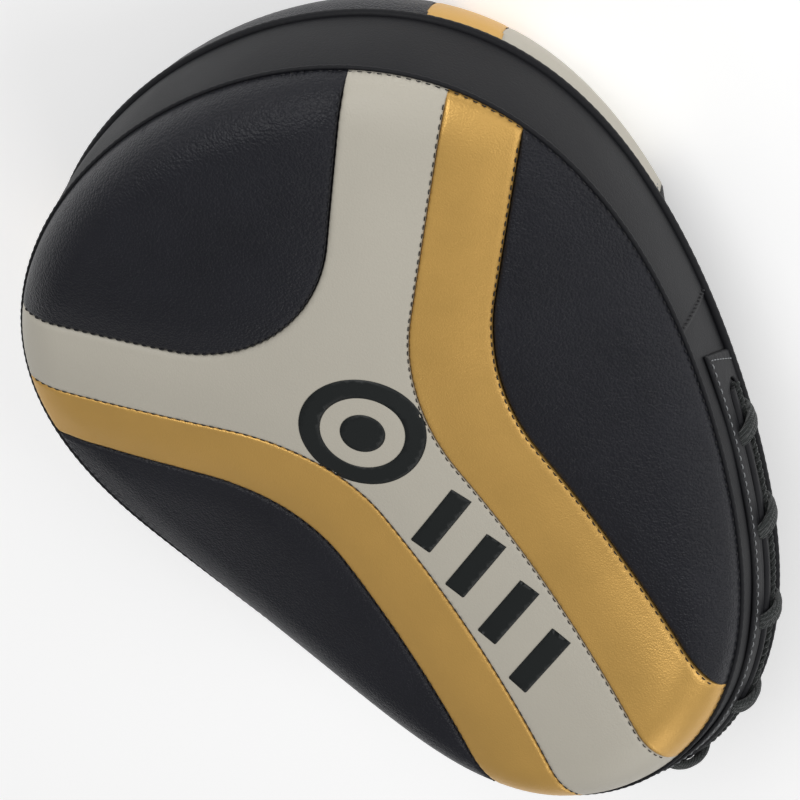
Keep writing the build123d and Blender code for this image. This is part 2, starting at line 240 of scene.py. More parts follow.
def face_height(flat, grooves=True):
    """Height of the strike face over the front seam, in millimetres."""
    sizes = bpy.context.scene.mitt_sizes
    flat = np.asarray(flat, float)
    edge, along, _ = nearest(flat, OUTLINE)
    edge = np.where(inside(flat, OUTLINE), edge, 0.0)
    crown = sizes.crown / MM - sizes.crown_fall / MM * np.minimum(np.abs(flat[:, 0]) / 85.0, 1.25)**2
    u = np.minimum(edge / (sizes.roll / MM), 1.0)
    height = crown * (1 - (1 - u)**2.3)**0.55
    height += 0.35 * np.sin(flat[:, 0] * 0.045 + 1.0) * np.sin(flat[:, 1] * 0.038) * u
    if not grooves:
        return height
    pitch = sizes.stitch_pitch / MM
    for name, line in SEAMS.items():
        depth, width, puff = SEAM_FORM[name.split("_")[0]]
        away, place, _ = nearest(flat, line)
        t = np.clip(1 - away / width, 0, 1)
        pucker = 1 + 0.16 * np.cos(2 * pi * place / pitch)
        height -= depth * (1 - np.sqrt(np.maximum(1 - t * t, 0))) * pucker * np.minimum(u * 2 + 0.3, 1)
        height += puff * (1 - np.exp(-(away / 7.0)**2)) * u - puff * 0.9 * u
        height += 0.07 * np.cos(2 * pi * place / pitch) * np.exp(-away / 2.2) * u
    rim_dip = np.clip(1 - edge / 1.6, 0, 1)
    height -= 1.0 * (1 - np.sqrt(np.maximum(1 - rim_dip**2, 0)))
    height += 0.12 * np.cos(2 * pi * along / pitch) * np.exp(-edge / 2.0)
    return height


def along_line(line, offset):
    """A flat line moved sideways, to its left."""
    run = np.gradient(line, axis=0)
    run /= np.linalg.norm(run, axis=1, keepdims=True)
    return line + offset * np.stack([-run[:, 1], run[:, 0]], 1)


# ---- making objects ----
def piece(name, points, faces, material, slot, body="mitt", nodes=(), smooth=True):
    """A mesh object from world points that rides on a body."""
    mesh = bpy.data.meshes.new(name)
    mesh.from_pydata([tuple(p) for p in points], [], [tuple(f) for f in faces])
    mesh.validate()
    made = bmesh.new()
    made.from_mesh(mesh)
    bmesh.ops.remove_doubles(made, verts=made.verts, dist=1e-6)
    bmesh.ops.recalc_face_normals(made, faces=made.faces)
    made.to_mesh(mesh)
    made.free()
    if smooth:
        mesh.shade_smooth()
    found = bpy.data.objects.new(name, mesh)
    bpy.context.collection.objects.link(found)
    finish_piece(found, material, body, nodes)
    return found


def finish_piece(found, material, body="mitt", nodes=()):
    """Material, body and the frame nodes that a piece stands for."""
    found.data.materials.clear()
    found.data.materials.append(bpy.data.materials[material])
    if body:
        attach(found, body)
    if nodes:
        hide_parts(*nodes)


def grid_faces(rows, columns, wrap_rows=False, wrap_columns=False):
    """Quads of a grid of rows times columns."""
    faces = []
    for i in range(rows if wrap_rows else rows - 1):
        for j in range(columns if wrap_columns else columns - 1):
            a, b = i * columns + j, i * columns + (j + 1) % columns
            c, d = (i + 1) % rows * columns + (j + 1) % columns, (i + 1) % rows * columns + j
            faces.append((a, b, c, d))
    return faces


def thicken(found, thickness, offset=-1.0):
    """A real thickness for a sheet."""
    solid = found.modifiers.new("thickness", "SOLIDIFY")
    solid.thickness = thickness * MM
    solid.offset = offset
    solid.use_even_offset = False


def frames_along(path, normals):
    """Unit tangents, normals and sideways directions of a path."""
    tangent = np.gradient(path, axis=0)
    tangent /= np.linalg.norm(tangent, axis=1, keepdims=True) + 1e-12
    normal = normals - (normals * tangent).sum(1, keepdims=True) * tangent
    normal /= np.linalg.norm(normal, axis=1, keepdims=True) + 1e-12
    return tangent, normal, np.cross(tangent, normal)


def swept(path, normals, section, closed=False, scale=None):
    """Points and faces of a section of (side, up) millimetres swept along a world path."""
    _, normal, side = frames_along(path, normals)
    scale = np.ones(len(path)) if scale is None else scale
    ring = np.asarray(section, float) * MM
    points = (path[:, None, :] + side[:, None, :] * ring[None, :, 0, None] * scale[:, None, None]
              + normal[:, None, :] * ring[None, :, 1, None] * scale[:, None, None])
    rows, columns = len(path), len(section)
    faces = grid_faces(rows, columns, closed, True)
    if not closed:
        faces += [tuple(range(columns))[::-1], tuple((rows - 1) * columns + i for i in range(columns))]
    return points.reshape(-1, 3), faces


def merged(parts):
    """Several lots of points and faces as one."""
    points, faces, start = [], [], 0
    for p, f in parts:
        points.append(p)
        faces += [tuple(i + start for i in face) for face in f]
        start += len(p)
    return np.vstack(points), faces


def round_section(width, height, steps=12, power=2.0):
    """A closed oval section."""
    angles = np.arange(steps) * 2 * pi / steps
    c, s = np.cos(angles), np.sin(angles)
    return np.stack([np.sign(c) * np.abs(c)**(2 / power) * width / 2,
                     np.sign(s) * np.abs(s)**(2 / power) * height / 2], 1)


def stitches(name, path, normals, material, slot, length=0.62, sink=0.0, lean=0.0, body="mitt",
             thickness=1.0):
    """A row of separate stitches along a world path."""
    sizes = bpy.context.scene.mitt_sizes
    walk = np.concatenate([[0.0], np.cumsum(np.linalg.norm(np.diff(path, axis=0), axis=1))])
    _, normal, side = frames_along(path, normals)
    pitch, radius = sizes.stitch_pitch, sizes.thread / 2 * thickness
    count = int(walk[-1] / pitch)
    t = np.array([0.0, 0.12, 0.5, 0.88, 1.0])
    ring = round_section(2, 2, 6)

    def pick(values, place):
        return np.stack([np.interp(place, walk, values[:, i]) for i in range(3)], 1)

    parts = []
    for k in range(count):
        mid = (k + 0.5) * pitch
        at = mid + (t - 0.5) * pitch * length
        centre, up, across = pick(path, at), pick(normal, at), pick(side, at)
        centre += across * ((at - mid) / pitch * 2 * lean * MM)[:, None]
        centre += up * ((np.sin(pi * t) * 1.1 - 0.2) * radius - sink * MM)[:, None]
        size = radius * np.array([0.25, 0.85, 1.0, 0.85, 0.25])
        rows = (centre[:, None] + across[:, None] * (ring[None, :, 0, None] * size[:, None, None])
                + up[:, None] * (ring[None, :, 1, None] * size[:, None, None]))
        faces = grid_faces(5, 6, False, True)
        faces += [(5, 4, 3, 2, 1, 0), tuple(24 + i for i in range(6))]
        parts.append((rows.reshape(-1, 3), faces))
    return piece(name, *merged(parts), material, slot, body)


# ---- shader node groups ----
def node_group(name, inputs, outputs):
    """A new shader group with named sockets, its input and its output node."""
    group = bpy.data.node_groups.new(name, "ShaderNodeTree")
    for label, kind, value in inputs:
        socket = group.interface.new_socket(label, in_out="INPUT", socket_type=kind)
        if value is not None:
            socket.default_value = value
    for label, kind in outputs:
        group.interface.new_socket(label, in_out="OUTPUT", socket_type=kind)
    return group, group.nodes.new("NodeGroupInput"), group.nodes.new("NodeGroupOutput")


def math_node(group, operation, a, b=0.0, c=0.0):
    """A Math node fed by sockets or numbers."""
    node = group.nodes.new("ShaderNodeMath")
    node.operation = operation
    for socket, value in zip(node.inputs, (a, b, c)):
        if hasattr(value, "is_output"):
            group.links.new(value, socket)
        else:
            socket.default_value = value
    return node.outputs[0]


def make_grain_group():
    """Leather grain: small cells with creases, and slow variation. Puts out height and mottle."""
    group, source, sink = node_group(
        "leather_grain", [("Cell Size", "NodeSocketFloat", 0.001), ("Crease", "NodeSocketFloat", 0.5)],
        [("Height", "NodeSocketFloat"), ("Mottle", "NodeSocketFloat")])
    place = group.nodes.new("ShaderNodeTexCoord")
    scale = math_node(group, "DIVIDE", 1.0, source.outputs["Cell Size"])
    warp = group.nodes.new("ShaderNodeTexNoise")
    warp.inputs["Scale"].default_value = 700.0
    warp.inputs["Detail"].default_value = 2.0
    group.links.new(place.outputs["Object"], warp.inputs["Vector"])
    shift = group.nodes.new("ShaderNodeVectorMath")
    shift.operation = "MULTIPLY_ADD"
    shift.inputs[1].default_value = (0.0006, 0.0006, 0.0006)
    group.links.new(warp.outputs["Color"], shift.inputs[0])
    group.links.new(place.outputs["Object"], shift.inputs[2])
    cells = group.nodes.new("ShaderNodeTexVoronoi")
    cells.feature = "F1"
    group.links.new(shift.outputs["Vector"], cells.inputs["Vector"])
    group.links.new(scale, cells.inputs["Scale"])
    domes = math_node(group, "SUBTRACT", 1.0, cells.outputs["Distance"])
    fine = group.nodes.new("ShaderNodeTexNoise")
    fine.inputs["Scale"].default_value = 2600.0
    fine.inputs["Detail"].default_value = 3.0
    group.links.new(place.outputs["Object"], fine.inputs["Vector"])
    mixed = math_node(group, "MULTIPLY", domes, source.outputs["Crease"])
    group.links.new(math_node(group, "MULTIPLY_ADD", fine.outputs["Fac"], 0.55, mixed),
                    sink.inputs["Height"])
    slow = group.nodes.new("ShaderNodeTexNoise")
    slow.inputs["Scale"].default_value = 38.0
    slow.inputs["Detail"].default_value = 5.0
    slow.inputs["Roughness"].default_value = 0.6
    group.links.new(place.outputs["Object"], slow.inputs["Vector"])
    group.links.new(slow.outputs["Fac"], sink.inputs["Mottle"])
    return group


def make_weave_group():
    """Woven threads crossing at right angles. Puts out their height."""
    group, source, sink = node_group(
        "weave", [("Thread", "NodeSocketFloat", 0.0008)], [("Height", "NodeSocketFloat")])
    place = group.nodes.new("ShaderNodeTexCoord")
    split = group.nodes.new("ShaderNodeSeparateXYZ")
    group.links.new(place.outputs["Object"], split.inputs[0])
    rate = math_node(group, "DIVIDE", pi, source.outputs["Thread"])
    both = math_node(group, "ADD", split.outputs[0], split.outputs[2])
    across = math_node(group, "ABSOLUTE",
                       math_node(group, "SINE", math_node(group, "MULTIPLY", both, rate)))
    along = math_node(group, "ABSOLUTE",
                      math_node(group, "SINE", math_node(group, "MULTIPLY", split.outputs[1], rate)))
    group.links.new(math_node(group, "MULTIPLY", across, along), sink.inputs["Height"])
    return group


def base_material(name, tint, roughness, metallic=0.0, sheen=0.0, coat=0.0, specular=0.5):
    """A material with one Principled shader, whose even values are set on its sockets."""
    plain = bpy.data.materials.get(name)
    if plain:
        plain.name = name + "_plain"
    material = bpy.data.materials.new(name)
    material.use_nodes = True
    tree = material.node_tree
    shader = tree.nodes["Principled BSDF"]
    shader.inputs["Base Color"].default_value = (*tint, 1)
    shader.inputs["Roughness"].default_value = roughness
    shader.inputs["Metallic"].default_value = metallic
    shader.inputs["Sheen Weight"].default_value = sheen
    shader.inputs["Sheen Roughness"].default_value = 0.4
    shader.inputs["Coat Weight"].default_value = coat
    shader.inputs["Coat Roughness"].default_value = 0.35
    shader.inputs["Specular IOR Level"].default_value = specular
    material.diffuse_color = (*tint, 1)
    return material, tree, shader


def shade_between(tree, shader, factor, dark, light):
    """Base colour that goes from dark to light with a factor."""
    mix = tree.nodes.new("ShaderNodeMix")
    mix.data_type = "RGBA"
    tree.links.new(factor, mix.inputs["Factor"])
    mix.inputs[6].default_value = (*dark, 1)
    mix.inputs[7].default_value = (*light, 1)
    tree.links.new(mix.outputs[2], shader.inputs["Base Color"])
    return mix


def leather_material(name, tint, cell, crease, roughness, strength, spread=0.12, **values):
    """Grained leather."""
    material, tree, shader = base_material(name, tint, roughness, **values)
    grain = tree.nodes.new("ShaderNodeGroup")
    grain.node_tree = bpy.data.node_groups["leather_grain"]
    grain.inputs["Cell Size"].default_value = cell
    grain.inputs["Crease"].default_value = crease
    bump = tree.nodes.new("ShaderNodeBump")
    bump.inputs["Strength"].default_value = strength
    bump.inputs["Distance"].default_value = 0.0003
    tree.links.new(grain.outputs["Height"], bump.inputs["Height"])
    tree.links.new(bump.outputs["Normal"], shader.inputs["Normal"])
    shade_between(tree, shader, grain.outputs["Mottle"], [c * (1 - spread) for c in tint],
                  [min(c * (1 + spread), 1.0) for c in tint])
    rough = math_node(tree, "MULTIPLY_ADD", grain.outputs["Mottle"], 0.16, roughness - 0.08)
    tree.links.new(rough, shader.inputs["Roughness"])
    return material


def cloth_material(name, tint, thread, roughness=0.85):
    """Woven or knitted cloth, with painted shade in the gaps between its threads."""
    material, tree, shader = base_material(name, tint, roughness, sheen=0.25)
    weave = tree.nodes.new("ShaderNodeGroup")
    weave.node_tree = bpy.data.node_groups["weave"]
    weave.inputs["Thread"].default_value = thread
    bump = tree.nodes.new("ShaderNodeBump")
    bump.inputs["Strength"].default_value = 0.8
    bump.inputs["Distance"].default_value = 0.0004
    tree.links.new(weave.outputs["Height"], bump.inputs["Height"])
    tree.links.new(bump.outputs["Normal"], shader.inputs["Normal"])
    # base colour follows the weave height: darker in the gaps between the threads and lighter on their tops,
    # which is painted shade in the gaps
    shade_between(tree, shader, weave.outputs["Height"], [c * 0.45 for c in tint],
                  [min(c * 1.35, 1.0) for c in tint])
    return material


class MITT_OT_materials(bpy.types.Operator):
    """Make the materials of every finish"""
    bl_idname = "mitt.materials"
    bl_label = "Materials"

    def execute(self, context):
        tints = context.scene.mitt_colours
        make_grain_group()
        make_weave_group()
        leather_material("black_leather", tints.black, 0.00085, 0.8, 0.40, 0.9, spread=0.3,
                         specular=0.3)
        leather_material("side_leather", tints.side, 0.0008, 0.4, 0.56, 0.45, spread=0.12, specular=0.2)
        leather_material("pale_leather", tints.pale, 0.0007, 0.5, 0.5, 0.35, spread=0.03, specular=0.3)
        leather_material("gold_leather", tints.gold, 0.0006, 0.5, 0.42, 0.4, spread=0.07,
                         metallic=0.5, specular=0.5)
        leather_material("print", tints.printed, 0.0007, 0.4, 0.5, 0.14, spread=0.1, specular=0.4)
        leather_material("foam", (0.24, 0.24, 0.25), 0.0012, 0.8, 0.9, 0.6)
        leather_material("board", (0.30, 0.29, 0.27), 0.002, 0.2, 0.7, 0.2)
        leather_material("rubber", (0.03, 0.03, 0.032), 0.0009, 0.3, 0.6, 0.25)
        cloth_material("lining", (0.028, 0.028, 0.031), 0.0014)
        cloth_material("webbing", (0.022, 0.023, 0.025), 0.0011, 0.7)
        cloth_material("hook_tape", (0.014, 0.014, 0.016), 0.0008, 0.95)
        cloth_material("lace", tints.lace, 0.0007, 0.72)
        leather_material("dark_thread", (0.010, 0.010, 0.012), 0.0005, 0.5, 0.6, 0.3)
        leather_material("pale_thread", tints.pale_thread, 0.0005, 0.5, 0.6, 0.3)
        for node, found in frame["nodes"].items():
            slot = next(part["material_slot"] for part in frame["record"]["subparts"]
                        if part["node"] == node)
            for socket in found.material_slots:
                socket.material = bpy.data.materials[slot]
        return {"FINISHED"}


# ---- strike face ----
def hexagons(step, reach=150.0):
    """Points of a regular triangle pattern over the whole face."""
    rows = np.arange(-reach, reach, step * 0.866)
    columns = np.arange(-reach, reach, step)
    x, y = np.meshgrid(columns, rows)
    x = x + (np.arange(len(rows)) % 2)[:, None] * step / 2
    return np.stack([x.ravel(), y.ravel()], 1)


def triangulated(loops, lines, loose):
    """Flat triangles over closed loops, open lines and loose points."""
    points, edges = [], []
    for loop in loops:
        start, count = len(points), len(loop)
        points += [Vector(p) for p in loop]
        edges += [(start + i, start + (i + 1) % count) for i in range(count)]
    for line in lines:
        start = len(points)
        points += [Vector(p) for p in line]
        edges += [(start + i, start + i + 1) for i in range(len(line) - 1)]
    points += [Vector(p) for p in loose]
    flat, _, faces, *_ = delaunay_2d_cdt(points, edges, [], 0, 1e-5)
    return np.array([tuple(p) for p in flat]), np.array([tuple(f) for f in faces])


def face_mesh():
    """The strike face laid flat as triangles, with finer rows beside its seams and its edge."""
    lines = list(SEAMS.values())
    rows = []
    for line in lines:
        for offset in (0.45, 0.95, 1.6, 2.6):
            for side in (-1, 1):
                rows.append(resample(along_line(line, side * offset), 1.0 if offset < 2 else 1.5))
    for inset in (0.4, 0.9, 1.6, 2.6, 4.0, 5.8, 8.0, 10.5):
        loop = rim(np.linspace(0, RIM_LENGTH, 1201)[:-1], -inset)
        rows.append(resample(loop, 1.2 if inset < 3 else 2.0))
    kept = [row[inside(row, OUTLINE) & (nearest(row, OUTLINE)[0] > 0.3)] for row in rows]
    loose = hexagons(2.3)
    loose = loose[inside(loose, OUTLINE) & (nearest(loose, OUTLINE)[0] > 11.5)]
    extra = np.vstack(kept + [loose])
    extra = extra[np.min([nearest(extra, line)[0] for line in lines], axis=0) > 0.4]
    # one point at most in each small square
    chosen = {}
    for p in extra:
        chosen.setdefault((int(p[0] // 0.75), int(p[1] // 0.75)), p)
    flat, faces = triangulated([OUTLINE[:-1]], lines, chosen.values())
    return flat, faces[inside(flat[faces].mean(1), OUTLINE)]


def only_used(points, faces):
    """The points that some faces use, and the faces numbered over them."""
    used = sorted({i for face in faces for i in face})
    index = {old: new for new, old in enumerate(used)}
    return points[used], [tuple(index[i] for i in face) for face in faces]


def beyond(seam, mirrored):
    """Polygon of everything on the outer side of a face seam."""
    line = SEAMS[seam + ("_left" if mirrored else "_right")]
    far = 400.0 * (-1 if mirrored else 1)
    return np.vstack([line, [(far, line[-1, 1]), (far, line[0, 1])]])


def face_regions(middle):
    """Which leather panel each place on the face belongs to."""
    region = np.full(len(middle), "strike_panel_centre", object)
    for side, mirrored in (("left", True), ("right", False)):
        region[inside(middle, beyond("trunk", mirrored))] = "strike_band_" + side
        region[inside(middle, beyond("band", mirrored))] = "strike_panel_" + side
    vee = np.vstack([SEAMS["vee"], [(120.0, 400.0), (-120.0, 400.0)]])
    region[inside(middle, vee)] = "strike_panel_top"
    return region


class MITT_OT_strike_face(bpy.types.Operator):
    """Make the leather panels of the strike face and the foam under them"""
    bl_idname = "mitt.strike_face"
    bl_label = "Strike Face"

    def execute(self, context):
        flat, faces = face_mesh()
        height = face_height(flat)
        world = curl(flat, height)
        region = face_regions(flat[faces].mean(1))
        finish = {"strike_panel_top": "black_leather", "strike_panel_left": "black_leather",
                  "strike_panel_right": "black_leather", "strike_panel_centre": "pale_leather",
                  "strike_band_left": "gold_leather", "strike_band_right": "gold_leather"}
        for name, leather in finish.items():
            panel = piece(name + "_skin", *only_used(world, faces[region == name]), leather, leather,
                          nodes=(name,))
            thicken(panel, 1.0)
        foam_height = np.maximum(face_height(flat, False) - 3.2, -2.0)
        under = curl(flat, foam_height)
        base = curl(flat, np.full(len(flat), -11.0))
        inner = nearest(flat, OUTLINE)[0] > 1.5
        own = faces[inner[faces].all(1)]
        used, index = np.unique(own, return_inverse=True)
        top = index.reshape(-1, 3)
        border = {}
        for a, b, c in top:
            for edge in ((a, b), (b, c), (c, a)):
                border[edge] = True
        sides = [(a, b) for a, b in border if (b, a) not in border]
        count = len(used)
        shell = [tuple(f) for f in top] + [tuple(i + count for i in f[::-1]) for f in top]
        shell += [(b, a, a + count, b + count) for a, b in sides]
        foam = piece("impact_foam_pad", np.vstack([under[used], base[used]]), shell, "foam", "foam",
                     nodes=("impact_foam",))
        return {"FINISHED"}


def pad_layer(name, inset, low, high, material, node):
    """A closed layer of the pad between two heights, drawn in from the outline."""
    line = along_line(OUTLINE, inset)
    line[-1] = line[0]
    flat, faces = plan_mesh(line, [], (1.5, 4.0), 5.0)
    count = len(flat)
    edge = len(line) - 1
    points = np.vstack([curl(flat, np.full(count, high)), curl(flat, np.full(count, low))])
    shell = [tuple(f) for f in faces] + [tuple(i + count for i in f[::-1]) for f in faces]
    shell += [((i + 1) % edge, i, i + count, (i + 1) % edge + count) for i in range(edge)]
    return piece(name, points, shell, material, material, nodes=(node,), smooth=False)


class MITT_OT_pad_layers(bpy.types.Operator):
    """Make the firm foam, the board and the back leather"""
    bl_idname = "mitt.pad_layers"
    bl_label = "Pad Layers"

    def execute(self, context):
        leather, board, core = 1.2, 2.5, 20.0
        pad_layer("core_foam_slab", 2.5, leather + board - PAD, leather + board + core - PAD - 0.4, "foam",
                  "core_foam")
        pad_layer("stiffener_sheet", 2.0, leather - PAD + 0.05, leather + board - PAD - 0.05, "board",
                  "stiffener_board")
        pad_layer("back_leather", 0.5, -PAD, leather - PAD, "side_leather", "back_panel")
        return {"FINISHED"}


class MITT_OT_face_stitching(bpy.types.Operator):
    """Sew the seams of the strike face and its edge"""
    bl_idname = "mitt.face_stitching"
    bl_label = "Face Stitching"

    def execute(self, context):
        for name, line in SEAMS.items():
            kind = name.split("_")[0]
            ok = inside(line, OUTLINE) & (nearest(line, OUTLINE)[0] > 2.0)
            offset = {"trunk": 0.35, "band": 0.5, "vee": 0.5}[kind] * (-1 if "left" in name else 1)
            flat = along_line(line, offset)[ok]
            height = face_height(flat)
            path = curl(flat, height + 0.12)
            normals = curl(flat, height + 1.0) - curl(flat, height)
            stitches("stitches_" + name, path, normals, "dark_thread", "black_leather",
                     length=0.6, sink=0.02, thickness=1.0 if kind == "trunk" else 1.15)
        at = np.linspace(0, RIM_LENGTH, 1500)
        path = wall(at, 0.55, -0.25)
        normals = wall(at, 3.5, 0.3) - wall(at, 1.0, -0.1)
        stitches("stitches_front_seam", path, normals, "dark_thread", "black_leather", length=0.5)
        return {"FINISHED"}


def draped_patch(name, loops, lift, material, thickness=0.25):
    """A flat shape laid on the strike face: closed loops of points, the inner ones being holes."""
    polygons = [resample(np.vstack([loop, loop[:1]]), 0.9)[:-1] for loop in loops]

    def filled(places):
        found = np.zeros(len(places), bool)
        for polygon in polygons:
            found ^= inside(places, polygon)
        return found

    inner = hexagons(1.7)
    near = np.min([nearest(inner, np.vstack([p, p[:1]]))[0] for p in polygons], axis=0)
    flat, faces = triangulated(polygons, [], inner[filled(inner) & (near > 0.7)])
    faces = faces[filled(flat[faces].mean(1))]
    world = curl(flat, face_height(flat) + lift)
    found = piece(name, world, faces, material, "print")
    thicken(found, thickness)
    return found


PRINT_LIFT = 0.14
TARGET_PLACE = 20.0
RING_RADIUS, RING_HOLE, DOT_RADIUS = 21.0, 14.0, 7.5
BAR_HALF_LENGTH, BAR_HALF_WIDTH, BAR_SLANT = 13.0, 4.0, 20.0
BAR_FIRST, BAR_PITCH, BAR_COUNT = -22.0, 20.0, 4


class MITT_OT_printed_marks(bpy.types.Operator):
    """Print a plain target and slanted bars on the pale panel"""
    bl_idname = "mitt.printed_marks"
    bl_label = "Printed Marks"

    def execute(self, context):
        angles = np.linspace(0, 2 * pi, 120)[:-1]
        circle = np.stack([np.cos(angles), np.sin(angles)], 1)
        centre = np.array([0.0, TARGET_PLACE])
        ring = draped_patch("print_ring", [centre + RING_RADIUS * circle, centre + RING_HOLE * circle],
                            PRINT_LIFT, "print")
        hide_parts("face_print")
        draped_patch("print_dot", [centre + DOT_RADIUS * circle], PRINT_LIFT, "print")
        c, s = cos(radians(BAR_SLANT)), sin(radians(BAR_SLANT))
        corners = np.array([(1, -1), (1, 1), (-1, 1), (-1, -1)]) * (BAR_HALF_LENGTH, BAR_HALF_WIDTH)
        bar = corners @ np.array([[c, s], [-s, c]])
        for i in range(BAR_COUNT):
            draped_patch("print_bar_%d" % (i + 1), [bar + (0.0, BAR_FIRST - BAR_PITCH * i)],
                         PRINT_LIFT, "print")
        return {"FINISHED"}


# ---- side wall ----
def distance_at(s):
    """Distance round the rim from the middle of the wrist end to a place along the face."""
    at = np.linspace(0, RIM_LENGTH / 2, 2000)
    return float(np.interp(s, rim(at)[:, 1], at))


def wall_out(height):
    """How far the side wall swells out, by height below the front seam."""
    t = np.clip(-np.asarray(height, float) / PAD, 0, 1)
    return 0.15 + 1.0 * np.sin(pi * t)**0.7


def side_sheet(name, first, last, low, high, material, nodes, slant=(0.0, 0.0), lift=0.0):
    """A sheet of the side wall between two distances and two heights."""
    columns = 26
    count = max(int(abs(last - first) / 1.4), 2)
    u = np.linspace(0, 1, count)[:, None]
    v = np.linspace(0, 1, columns)[None, :]
    height = high + (low - high) * v + 0 * u
    at = first + slant[0] * v + (last + slant[1] * v - first - slant[0] * v) * u
    pitch = bpy.context.scene.mitt_sizes.stitch_pitch / MM
    out = wall_out(height) + lift
    out = out + 0.16 * np.cos(2 * pi * at / pitch) * np.exp(-np.abs(height) / 2.5)
    swell = np.sin(pi * np.clip(-height / PAD, 0, 1))
    out = out + 0.30 * np.sin(at * 0.11) * np.sin(at * 0.043 + 2.0) * swell
    points = wall(at, height, out)
    found = piece(name, points.reshape(-1, 3), grid_faces(count, columns), material, "side_leather",
                  nodes=nodes)
    thicken(found, 1.0)


def rim_bead(name, height, out, radius, material, nodes, ripple=0.0, first=0.0, last=None, oval=1.0):
    """A rounded bead along the rim."""
    last = RIM_LENGTH if last is None else last
    closed = last - first >= RIM_LENGTH - 1e-6
    at = np.linspace(first, last, int((last - first) / 0.7))
    at = at[:-1] if closed else at
    pitch = bpy.context.scene.mitt_sizes.stitch_pitch / MM
    path = wall(at, height, out)
    normals = wall(at, height, out + 1.0) - path
    if closed:
        path, normals = np.vstack([path, path[:1]]), np.vstack([normals, normals[:1]])
        at = np.append(at, at[0])
    scale = 1 + ripple * np.cos(2 * pi * at / pitch)
    points, faces = swept(path, normals, round_section(2 * radius * oval, 2 * radius, 12), False, scale)
    piece(name, points, faces, material, "side_leather", nodes=nodes)


class MITT_OT_side_wall(bpy.types.Operator):
    """Make the gusset, its seams and the beads along both edges"""
    bl_idname = "mitt.side_wall"
    bl_label = "Side Wall"

    def execute(self, context):
        seam = distance_at(GUSSET_SEAM_S)
        low, high = -PAD + 0.6, -0.3
        side_sheet("gusset_upper_skin", seam - 1.0, RIM_LENGTH - seam + 1.0, low, high, "side_leather",
                   ("gusset_upper",), slant=(-2.5, 2.5))
        side_sheet("gusset_wrist_skin", -seam, seam, low, high, "side_leather", ("gusset_wrist",),
                   slant=(2.5, -2.5), lift=-0.55)
        rim_bead("front_seam_edge", -0.7, 0.25, 0.75, "side_leather", ("front_seam_welt",), 0.10)
        rim_bead("back_seam_bead", -PAD + 1.4, 0.7, 1.5, "side_leather", ("back_seam_piping",), 0.03)
        v = np.linspace(0, 1, 60)
        for side in (-1, 1):
            at = side * (seam - 1.0 - 2.5 * v)
            height = -1.8 - 32.0 * v
            out = wall_out(height) + 0.25
            path = wall(at + side * 1.4, height, out)
            normals = wall(at, height, out + 1.0) - wall(at, height, out)
            stitches("stitches_gusset_" + ("left" if side < 0 else "right"), path, normals,
                     "dark_thread", "side_leather", length=0.75, lean=0.7, thickness=1.5)
        return {"FINISHED"}


# ---- lacing ----
def patch_loops():
    """Edge of the lacing patch and of its slot, as distance and height."""
    front, back = distance_at(-25.0), distance_at(-33.0)
    top, low = -PATCH_FRONT, -PAD + 1.6
    edge = np.array([(front, top), (back, low), (-back, low), (-front, top)])
    half = (SLOT_FAR - SLOT_NEAR) / 2
    end, mid = distance_at(-44.0), -(SLOT_NEAR + SLOT_FAR) / 2
    arc = np.linspace(-pi / 2, pi / 2, 16)
    right = np.stack([end + half * np.cos(arc), mid + half * np.sin(arc)], 1)
    return edge, np.vstack([right, right[::-1] * [-1, 1]])


def strand(name, heights, outs, section, material, slot, first, last, wave=0.0, nodes=()):
    """A strand lying lengthwise in the slot."""
    at = np.linspace(first, last, int(abs(last - first) / 0.8))
    sway = wave * np.sin(2 * pi * at / LACE_PITCH)
    path = wall(at, heights + sway, outs)
    normals = wall(at, heights + sway, outs + 1.0) - path
    points, faces = swept(path, normals, section)
    return piece(name, points, faces, material, slot, nodes=nodes)


